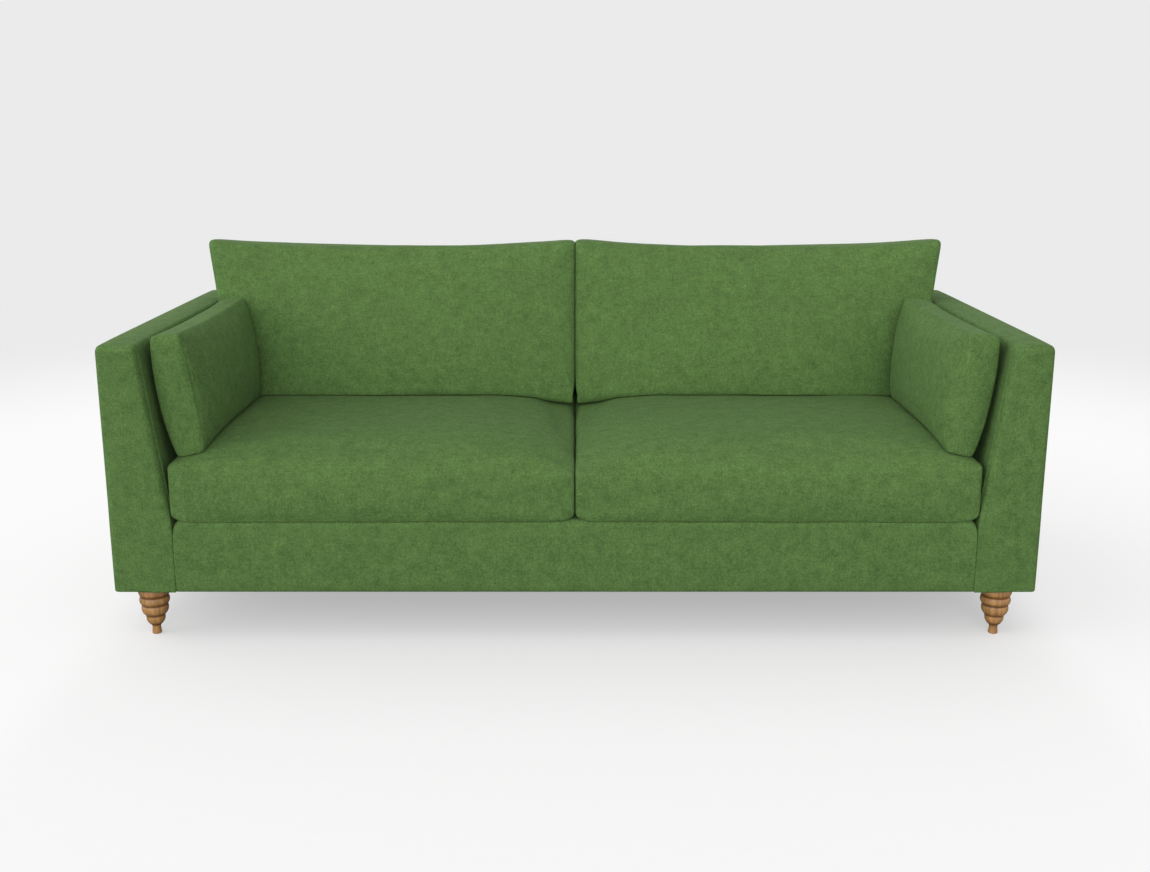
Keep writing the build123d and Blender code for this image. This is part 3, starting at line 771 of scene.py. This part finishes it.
def seat_radii(points, half):
    """Rounding of the seat cushion's edges along x, y and z at each point."""
    px, py, pz = points.T
    up = ease((pz / half[2] + 1) / 2)
    inner = ease((-px / half[0] + 1) / 2)
    depth = py / half[1]
    front = ease((-depth - 0.6) / 0.4) * ease((half[0] - np.abs(px)) / 0.12)
    between = ease((0.85 - np.abs(depth)) / 0.2)
    notch = mix(MEET_ROUND[1], NOTCH_ROUND, ease((depth - 0.34) / 0.2))
    low = mix(*LOW_ROUND, inner)
    along_x = mix(SIDE_ROUND[0], mix(END_ROUND[0], MEET_ROUND[0], between), inner)
    along_y = mix(mix(*DEPTH_ROUND, inner), ROLL_ROUND[0], front)
    along_z = mix(mix(SIDE_ROUND[1], mix(END_ROUND[1], notch, between), inner), ROLL_ROUND[1], front)
    return np.stack([mix(low, along_x, up), mix(LOW_DEPTH, along_y, up), mix(low, along_z, up)], 1)


print("front roll", ROLL_ROUND)

# %% Shape of a seat cushion
SEAT_BOXING = 0.143
SEAT_FRONT = 0.001  # inside the CAD cover, in front
SEAT_REAR = 0.004  # and behind
SEAT_OUTER = 0.0025  # the outer end stands this far past the foot of the arm's slope
SEAT_SPREAD = 0.003  # and leans this far towards the arm
SEAT_CROWN = 0.027  # before it is blown up
SEAT_PEAK = -0.42  # where it is fullest, from -1 at the front to 1 at the back
SEAT_SHOULDER = 0.029  # fall of the top where the two cushions meet
SHOULDER_WIDTH = 0.27
SEAT_FALL = 0.007  # fall of the top beside the arm
FALL_WIDTH = 0.10
MIDDLE_GAP = 0.0006  # each side of the seam between two cushions
SEAT_DROOP = 0.013  # front edge sinks over the border's roll
CORNER_LIFT = 0.012  # but not at its corners
SEAT_BOW = 0.004  # fullness of the front and the rear


def seat_crown(flat, half):
    """Height of the top above its boxing."""
    u = flat / half
    along = np.where(u[:, 1] < SEAT_PEAK, 1 + SEAT_PEAK, 1 - SEAT_PEAK)
    crown = SEAT_CROWN * swell(np.maximum(u[:, 0], 0), 10) * swell((u[:, 1] - SEAT_PEAK) / along, 2)
    shoulder = np.clip(1 - (flat[:, 0] + half[0]) / SHOULDER_WIDTH, 0, 1) ** 1.9
    shoulder = shoulder * (1 - ease((u[:, 1] - 0.55) / 0.35))
    beside = np.clip(1 - (half[0] - flat[:, 0]) / FALL_WIDTH, 0, 1) ** 1.5
    return crown - SEAT_SHOULDER * shoulder - SEAT_FALL * beside


def seat_shape():
    """Right seat cushion, and which points rest on the platform."""
    x0, x1 = MIDDLE_GAP, arm_inner + SEAT_OUTER
    y0, y1 = seat_low[1] + SEAT_FRONT, seat_high[1] - SEAT_REAR
    half = np.array([(x1 - x0) / 2, (y1 - y0) / 2, SEAT_BOXING / 2])
    steps = (0.020, 0.020, 0.018)
    points, faces = lattice(*[box_lines(h, EDGE, step) for h, step in zip(half, steps)])
    flat = rounded(points, half, seat_radii(points, half))
    ux, uy, uz = (flat / half).T
    upper = np.clip((uz + 1) / 2, 0, 1)
    x = (x0 + x1) / 2 + flat[:, 0] + SEAT_SPREAD * upper * np.clip(ux, 0, 1)
    y = (y0 + y1) / 2 + flat[:, 1]
    z = seat_low[2] + half[2] + flat[:, 2] + seat_crown(flat, half) * upper
    ends = np.sign(uy) * np.abs(uy) ** 8
    y = y + ends * SEAT_BOW * swell(uz, 2) * swell(ux, 4)
    front_edge = np.clip(-uy, 0, 1) ** 24
    corner = np.abs(ux) ** 30
    z = z + (1 - upper) * front_edge * (CORNER_LIFT * corner - SEAT_DROOP * (1 - corner))
    held = points[:, 2] < TINY - half[2]
    return np.stack([x, y, z], 1), faces, held


seat_points, seat_quads, held = seat_shape()
print("seat cushion", len(seat_points), "points,", held.sum(), "held")

# %% Two seat cushions
SEAT_LIFT = 0.0008  # off the platform
SEAT_BACK_GAP = 0.002


def border_top(y):
    """Height of the platform and the border's roll at depth y."""
    turn = np.clip((border_front + BORDER_ROUNDING - y) / BORDER_ROUNDING, 0, 1)
    return deck - BORDER_ROUNDING * (1 - np.sqrt(1 - turn * turn))


def seat_clear(p):
    """Keep a seat cushion off the platform, the arm, the back and its twin."""
    x = np.clip(p[:, 0], MIDDLE_GAP, arm_face(p[:, 2]) - GAP)
    z = np.maximum(p[:, 2], border_top(p[:, 1]) + SEAT_LIFT)
    y = np.minimum(p[:, 1], back_face(z) - SEAT_BACK_GAP)
    return np.stack([x, y, z], 1)


seat_points = inflate(seat_points, seat_quads, held, pressure=0.5, reach=0.014)
for i, (side, mirror) in enumerate(SIDES):
    shaped = seat_clear(uneven(seat_points, seat_quads, 3 + i, 0.0016))
    piece(f"seat_cushion_{side}", shaped, seat_quads, f"seat_cushion_{side}", cloth[2 + i],
          [f"seat_cushion_cover_{side}"], mirror)

# %% [markdown]
# ## Back cushions
# They stand on the seat cushions and lean on the back. Their filling settles, so they are fullest low
# down, the top edge dips between the two upper corners, and the lower edge takes the shape of the
# seat below.

# %% Places on a leaning face
BACK_SLOPE = (back_inner, back_lean)


def on_slope(slope, up, out):
    """Place across and height of a point that far up a leaning inside and that far out from it."""
    face, lean = slope
    return (face + up * math.sin(lean) - out * math.cos(lean),
            deck + up * math.cos(lean) + out * math.sin(lean))


def off_slope(slope, across, z):
    """The reverse: how far up the leaning inside and how far out from it."""
    face, lean = slope
    across, z = across - face, z - deck
    return (across * math.sin(lean) + z * math.cos(lean),
            z * math.sin(lean) - across * math.cos(lean))


print("a metre up the back", [round(v, 3) for v in on_slope(BACK_SLOPE, 1.0, 0.0)])

# %% Shape of a back cushion
PILLOW_RISE = 0.128  # its foot above the platform, along the back
PILLOW_HEIGHT = 0.455
PILLOW_GAP = 0.002  # room at the back
PILLOW_END = 0.178  # thickness at its ends
PILLOW_LOW = 0.208  # at its foot
PILLOW_TOP = 0.158  # at its top
PILLOW_CROWN = 0.024
PILLOW_PEAK = -0.3  # where it is fullest, from -1 at its foot to 1 at its top
PILLOW_TUCK = 0.6  # share of the crown that is gone at its foot
PILLOW_BACK_CROWN = 0.008
PILLOW_DIP = 0.018  # fall of the top edge between the corners
PILLOW_TOP_BOW = 0.009  # fullness of the top
FOOT_OUTER = 0.010  # how far the foot reaches down beside the arm
FOOT_INNER = 0.022  # and beside the other cushion
PILLOW_ARM_GAP = 0.009
PILLOW_SPREAD = 0.008  # wider at the top
PILLOW_WAVE = 0.004  # the two press together in a slight wave, so no light comes through
PILLOW_ROUND_X = (0.014, 0.020)  # beside the arm and beside the other cushion
PILLOW_ROUND_Y = (0.024, 0.030)
PILLOW_ROUND_Z = 0.018
FOOT_ROUND_Y = 0.010
FOOT_ROUND_Z = (0.009, 0.030)  # again beside the arm and beside the other cushion


def pillow_shape():
    """Right back cushion."""
    low_z = on_slope(BACK_SLOPE, PILLOW_RISE, PILLOW_GAP)[1]
    top_z = on_slope(BACK_SLOPE, PILLOW_RISE + PILLOW_HEIGHT, PILLOW_GAP)[1]
    low_end = arm_face(low_z) - PILLOW_ARM_GAP
    top_end = arm_face(top_z) - PILLOW_ARM_GAP + PILLOW_SPREAD
    half = np.array([(low_end - MIDDLE_GAP) / 2, PILLOW_END / 2, PILLOW_HEIGHT / 2])
    points, faces = lattice(*[box_lines(h, EDGE, 0.020) for h in half])
    px, py, pz = points.T
    upper = ease((pz / half[2] + 1) / 0.6)
    inner = ease(0.5 - px / 0.2)
    radii = np.stack([mix(*PILLOW_ROUND_X, inner),
                      mix(FOOT_ROUND_Y, mix(*PILLOW_ROUND_Y, inner), upper),
                      mix(mix(*FOOT_ROUND_Z, inner), PILLOW_ROUND_Z, upper)], 1)
    flat = rounded(points, half, radii)
    ux, uy, uz = (flat / half).T
    up = (uz + 1) / 2
    wide = swell(ux, 2.4)
    thick = PILLOW_END + wide * (mix(PILLOW_LOW, PILLOW_TOP, up) - PILLOW_END)
    above = swell((uz - PILLOW_PEAK) / (1 - PILLOW_PEAK), 2.5)
    below = 1 - PILLOW_TUCK * np.clip((PILLOW_PEAK - uz) / (1 + PILLOW_PEAK), 0, 1) ** 2.5
    bell = (0.35 + 0.65 * swell(ux, 3)) * np.where(uz > PILLOW_PEAK, above, below)
    d = PILLOW_GAP + PILLOW_BACK_CROWN + (1 - uy) / 2 * thick
    d = d + np.clip(-uy, 0, 1) ** 3 * PILLOW_CROWN * bell
    d = d - np.clip(uy, 0, 1) ** 3 * PILLOW_BACK_CROWN * bell
    s = PILLOW_RISE + up * (PILLOW_HEIGHT - PILLOW_DIP * swell(ux, 4))
    s = s + PILLOW_TOP_BOW * np.clip(uz, 0, 1) ** 8 * swell(uy, 2)
    reach = FOOT_OUTER * np.maximum(ux, 0) ** 6 + FOOT_INNER * np.maximum(-ux, 0) ** 4
    s = s - (1 - up) * reach
    y, z = on_slope(BACK_SLOPE, s, d)
    end = mix(low_end, top_end, (z - low_z) / (top_z - low_z))
    x = mix(-PILLOW_WAVE, end, (ux + 1) / 2)
    held = (py > half[1] - TINY) | (pz < TINY - half[2])
    return np.stack([x, y, z], 1), faces, held


pillow_points, pillow_quads, held = pillow_shape()
print("back cushion", len(pillow_points), "points,", held.sum(), "held")

# %% Two back cushions
WAVE_LENGTH = 0.12
PILLOW_MIDDLE = 0.0002  # each side of that wave
PILLOW_FOOT = 0.045  # the wave ends this far above the foot, where the two draw apart
PILLOW_PART = 0.006  # by this much each, so that one can be lifted past the other


def pillow_clear(p, seat, wave):
    """Keep a back cushion off the back, the arm, its twin and the seat cushion."""
    s, d = off_slope(BACK_SLOPE, p[:, 1], p[:, 2])
    y, z = on_slope(BACK_SLOPE, s, np.maximum(d, PILLOW_GAP))
    foot = 1 - ease((s - PILLOW_RISE) / PILLOW_FOOT)
    pressed = PILLOW_MIDDLE + wave * np.sin(d * 2 * math.pi / WAVE_LENGTH) * (1 - foot)
    middle = pressed + PILLOW_PART * foot
    x = np.clip(p[:, 0], middle, arm_face(z) - PILLOW_GAP)
    return cleared(np.stack([x, y, z], 1), seat, *UP)


pillow_points = inflate(pillow_points, pillow_quads, held, pressure=0.5, reach=0.012)
seat = (seat_clear(seat_points), seat_quads)
pillow_points = pillow_clear(pillow_points, seat, 0.0)
for i, (side, mirror) in enumerate(SIDES):
    wave = -PILLOW_WAVE if mirror else PILLOW_WAVE
    shaped = pillow_clear(uneven(pillow_points, pillow_quads, 5 + i, 0.0020), seat, wave)
    piece(f"back_cushion_{side}", shaped, pillow_quads, f"back_cushion_{side}", cloth[i],
          [f"back_cushion_cover_{side}"], mirror)

# %% [markdown]
# ## Arm bolsters
# Slim boxed cushions that stand on the seat cushions and lean on the arms. The front panel widens
# towards the middle on the arm's side, and a fine seam joins it to the inner face.

# %% Shape of a bolster
ARM_SLOPE = (arm_inner, arm_lean)
BOLSTER_RISE = 0.139  # its foot above the platform, along the arm
BOLSTER_HEIGHT = 0.304
BOLSTER_BOXING = 0.070
BOLSTER_OUTER_CROWN = 0.024
BOLSTER_INNER_CROWN = 0.028
BOLSTER_END_CROWN = (0.004, 0.016)  # of the inner face, at its front and rear end
BOLSTER_FRONT_BOW = 0.013
BOLSTER_FRONT_CROWN = 0.004
BOLSTER_FRONT = 0.002  # inside the CAD cover
BOLSTER_DIP = 0.006  # fall of the top edge between the corners
BOLSTER_TUCK = 0.007  # the lower front corner is drawn in from the arm
BOLSTER_GAP = 0.0012
BOLSTER_REAR = 0.228  # in front of the back's face
BOLSTER_SEAM = 0.011  # behind the front edge
BOLSTER_ROUND = (0.009, 0.009, 0.010)  # upper edges, along x, y and z
BOLSTER_FOOT_X = 0.024  # foot, along x
BOLSTER_FOOT_Z = (0.034, 0.008)  # and along z, towards the seat and towards the arm


def bolster_shape():
    """Right bolster, and how deep its seam is at each point."""
    front = bolster_low[1] + BOLSTER_FRONT
    length = bolster_high[1] - front
    half = np.array([BOLSTER_BOXING / 2, length / 2, BOLSTER_HEIGHT / 2])
    seam = BOLSTER_SEAM - half[1]
    points, faces = lattice(
        box_lines(half[0], FINE_EDGE, 0.014),
        box_lines(half[1], EDGE, 0.018, [seam]),
        box_lines(half[2], EDGE, 0.018),
    )
    px, py, pz = points.T
    up = ease((pz / half[2] + 1) / 2)
    foot = np.where(px < 0, *BOLSTER_FOOT_Z)
    round_x, round_y, round_z = BOLSTER_ROUND
    radii = np.stack([mix(BOLSTER_FOOT_X, round_x, up), np.full(len(up), round_y),
                      mix(foot, round_z, up)], 1)
    flat = rounded(points, half, radii)
    ux, uy, uz = (flat / half).T
    long_bell = swell(uy, 3)
    tall_bell = swell(uz, 2.4)
    outer = np.clip(ux, 0, 1) ** 3 * mix(BOLSTER_FRONT_BOW, BOLSTER_OUTER_CROWN, long_bell)
    ends = mix(*BOLSTER_END_CROWN, (uy + 1) / 2)
    inner = np.clip(-ux, 0, 1) ** 3 * mix(ends, BOLSTER_INNER_CROWN, long_bell)
    w = BOLSTER_GAP + BOLSTER_OUTER_CROWN + (1 - ux) / 2 * BOLSTER_BOXING
    w = w + (inner - outer) * tall_bell
    w = w + BOLSTER_TUCK * ((1 - uz) / 2) ** 2 * (1 - uy) / 2
    dip = BOLSTER_DIP * np.clip(uz, 0, 1) ** 6 * swell(uy, 2)
    v = BOLSTER_RISE + half[2] + flat[:, 2] - dip
    x, z = on_slope(ARM_SLOPE, v, w)
    rear = back_face(z) - BOLSTER_REAR / math.cos(back_lean)
    y = mix(front, rear, (uy + 1) / 2)
    y = y - np.clip(-uy, 0, 1) ** 40 * BOLSTER_FRONT_CROWN * swell(ux, 2) * tall_bell
    on_the_arm = (px > half[0] - TINY) & (long_bell * tall_bell > 0.5)
    held = (pz < TINY - half[2]) | on_the_arm
    dent = groove(py, seam) * (px < TINY - half[0])
    return np.stack([x, y, z], 1), faces, held, dent


bolster_points, bolster_quads, held, dent = bolster_shape()
print("bolster", len(bolster_points), "points,", held.sum(), "held")

# %% Two arm bolsters
BOLSTER_SEAM_DEPTH = 0.0024


def bolster_clear(p, seat, pillow):
    """Keep a bolster off the arm, the seat cushion and the back cushion."""
    v, w = off_slope(ARM_SLOPE, p[:, 0], p[:, 2])
    x, z = on_slope(ARM_SLOPE, v, np.maximum(w, BOLSTER_GAP))
    lifted = cleared(np.stack([x, p[:, 1], z], 1), seat, *UP)
    return cleared(lifted, pillow, *FORWARD)


bolster_points = inflate(bolster_points, bolster_quads, held, pressure=1.5, reach=0.010)
bolster_points[:, 0] += dent * BOLSTER_SEAM_DEPTH
for i, (side, mirror) in enumerate(SIDES):
    shaped = uneven(bolster_points, bolster_quads, 8 + i, 0.0016)
    shaped = bolster_clear(shaped, seat, (pillow_points, pillow_quads))
    piece(f"arm_bolster_{side}", shaped, bolster_quads, f"arm_bolster_{side}", cloth[3 - i],
          [f"arm_bolster_cover_{side}"], mirror)

# %% [markdown]
# ## Platform and dust cloth
# Two things only show when a cushion is lifted or the sofa is turned over: the padded platform, and
# the thin cloth that is stapled across the underside and hangs a few millimetres between its edges.

# %% Platform pad
PLATFORM_ROUND = (0.008, 0.008, 0.006)
PLATFORM_FALL = 0.0015  # between the seats and at the ends
platform_low, platform_high = np.array(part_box("seat_platform"))


def platform_shape():
    """Flat pad, slightly fuller in the middle of each seat."""
    half = (platform_high - platform_low) / 2
    points, faces = lattice(
        box_lines(half[0], FINE_EDGE, 0.05),
        box_lines(half[1], FINE_EDGE, 0.05),
        box_lines(half[2], (0.0, 0.003), 0.010),
    )
    flat = rounded(points, half, PLATFORM_ROUND)
    u = flat / half
    flat[:, 2] -= np.clip(u[:, 2], 0, 1) * PLATFORM_FALL * (1 - swell(2 * np.abs(u[:, 0]) - 1, 4))
    return flat + (platform_low + platform_high) / 2, faces


points, faces = platform_shape()
piece("platform_pad", points, faces, "frame", finishes["platform_cloth"], ["seat_platform"])

# %% Dust cloth
DUST_SAG = 0.006
DUST_INSET = 0.002  # from the edges of the CAD cover
DUST_DEPTH = 0.0008  # below its top
DUST_PUCKER = 0.0006  # between the staples
dust_low, dust_high = np.array(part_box("dust_cover"))


def dust_sheet():
    """Thin sheet, stretched between its stapled edges."""
    xs = np.linspace(dust_low[0] + DUST_INSET, dust_high[0] - DUST_INSET, 61)
    ys = np.linspace(dust_low[1] + DUST_INSET, dust_high[1] - DUST_INSET, 27)
    points = []
    for x in xs:
        for y in ys:
            u = 2 * (x - xs[0]) / (xs[-1] - xs[0]) - 1
            v = 2 * (y - ys[0]) / (ys[-1] - ys[0]) - 1
            pucker = DUST_PUCKER * math.sin(x * 70) * (abs(v) ** 12)
            sag = DUST_SAG * swell(u, 4) * swell(v, 2.5)
            points.append((x, y, dust_high[2] - DUST_DEPTH - sag + pucker))
    rows = len(ys)
    faces = []
    for i in range(len(xs) - 1):
        for j in range(rows - 1):
            a = i * rows + j
            faces.append((a, a + 1, a + rows + 1, a + rows))
    return points, faces


points, faces = dust_sheet()
dust = mesh_object("dust_cloth_sheet", points, faces)
dust.data.materials.append(finishes["dust_cloth"])
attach(dust, "frame")
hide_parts("dust_cover")
print("dust cloth", len(points), "points")

# %% [markdown]
# ## Floor and light
# A plain pale floor that fades into a pale surround. The light comes from nine soft lights painted on
# the sky. Two narrow ones in front light every front face alike, and those on the left are stronger
# than those on the right, so the inner face of the right bolster is lit and that of the left one is in
# shade. The floor glows a little, more beyond the ends of the sofa, which keeps the shadow pale. It
# looks pale but throws back little light onto the sofa, so the lower edges stay in shade.


# %% Floor
FLOOR = 0.97  # brightness of the floor itself
FLOOR_BOUNCE = 0.20  # what the floor throws back onto the sofa
GLOW = 0.385  # share of the floor's brightness that no shadow takes away
SIDE_GLOW = 0.62  # and beyond the ends of the sofa
SIDES_FROM = (1.08, 1.26)  # where the one changes to the other
FADE_FROM = (2.4, 5.0)  # where the floor fades out, from the middle
SURROUND = 0.83  # brightness of the background


def pale_floor():
    """Floor that fades out with distance, so that it has no edge."""
    material, tree, output = new_material("pale_floor")
    place = add(tree, "ShaderNodeTexCoord")
    length = add(tree, "ShaderNodeVectorMath", operation="LENGTH")
    join(tree, place.outputs["Object"], length.inputs[0])
    fade = add(tree, "ShaderNodeMapRange", {"From Min": FADE_FROM[0], "From Max": FADE_FROM[1]},
               interpolation_type="SMOOTHSTEP")
    join(tree, length.outputs["Value"], fade.inputs["Value"])
    paths = add(tree, "ShaderNodeLightPath")
    speck = noise(tree, place.outputs["Object"], 30.0, detail=3.0)
    shade = math_node(tree, "ADD", math_node(tree, "MULTIPLY", speck, 0.02), FLOOR - FLOOR_BOUNCE)
    shade = math_node(tree, "MULTIPLY", shade, paths.outputs["Is Camera Ray"])
    shade = math_node(tree, "ADD", shade, FLOOR_BOUNCE)
    matt = add(tree, "ShaderNodeBsdfDiffuse")
    join(tree, shade, matt.inputs["Color"])
    glow = add(tree, "ShaderNodeEmission", {"Color": (1, 1, 1, 1), "Strength": 1.0})
    sides = add(tree, "ShaderNodeSeparateXYZ")
    join(tree, place.outputs["Object"], sides.inputs[0])
    beside = add(tree, "ShaderNodeMapRange", {
        "From Min": SIDES_FROM[0], "From Max": SIDES_FROM[1], "To Min": GLOW, "To Max": SIDE_GLOW,
    }, interpolation_type="SMOOTHSTEP")
    join(tree, math_node(tree, "ABSOLUTE", sides.outputs["X"], 0.0), beside.inputs["Value"])
    share = math_node(tree, "MULTIPLY", paths.outputs["Is Camera Ray"], beside.outputs[0])
    lit = blend(tree, share, matt.outputs[0], glow.outputs[0])
    clear = add(tree, "ShaderNodeBsdfTransparent")
    join(tree, blend(tree, fade.outputs[0], lit, clear.outputs[0]), output.inputs["Surface"])
    return material


bpy.ops.mesh.primitive_grid_add(x_subdivisions=8, y_subdivisions=8, size=16, location=(0, 0, 0))
floor = bpy.context.object
floor.name = "floor"
floor.data.materials.append(pale_floor())
print("floor", floor.dimensions[:2])

# %% Sky
AMBIENT = 0.135  # from all round
SOFT_LIGHTS = (  # towards each light, its strength, and how narrow it is
    ((0.00, -0.98, 0.20), 4.40, 40),    # low, in front
    ((0.00, -0.91, 0.42), 3.60, 40),    # in front, higher
    ((0.00, -0.40, 0.92), 0.42, 6),     # overhead
    ((-0.48, -0.84, 0.26), 1.40, 12),   # front left
    ((0.48, -0.84, 0.26), 0.95, 12),    # front right
    ((-0.81, -0.47, 0.34), 0.90, 12),   # further left
    ((-0.94, 0.00, 0.34), 1.85, 4),     # left
    ((0.98, 0.00, 0.17), 0.52, 3),      # right
    ((0.00, 0.98, 0.17), 1.20, 3),      # behind
)

world = bpy.data.worlds.new("surround")
scene.world = world
world.use_nodes = True
sky = world.node_tree
sky.nodes.clear()
way = add(sky, "ShaderNodeTexCoord")
bright = AMBIENT
for towards, strength, narrow in SOFT_LIGHTS:
    facing = add(sky, "ShaderNodeVectorMath", {1: Vector(towards).normalized()},
                 operation="DOT_PRODUCT")
    join(sky, way.outputs["Generated"], facing.inputs[0])
    lobe = math_node(sky, "MAXIMUM", facing.outputs["Value"], 0.0)
    lobe = math_node(sky, "POWER", lobe, narrow)
    bright = math_node(sky, "ADD", math_node(sky, "MULTIPLY", lobe, strength), bright)
path = add(sky, "ShaderNodeLightPath")
seen = math_node(sky, "MAXIMUM", path.outputs["Is Camera Ray"], path.outputs["Is Glossy Ray"])
seen = math_node(sky, "MAXIMUM", seen, path.outputs["Is Transmission Ray"])
light = add(sky, "ShaderNodeBackground", {"Color": (1, 1, 1, 1)})
join(sky, bright, light.inputs["Strength"])
pale = add(sky, "ShaderNodeBackground", {"Color": (1, 1, 1, 1), "Strength": SURROUND})
end = add(sky, "ShaderNodeOutputWorld")
join(sky, blend(sky, seen, light.outputs[0], pale.outputs[0]), end.inputs["Surface"])
print("sky with", len(SOFT_LIGHTS), "soft lights")

# %% [markdown]
# ## Finish
# The plain view transform shows colours as they are written.

# %% Finish
scene.view_settings.view_transform = "Standard"
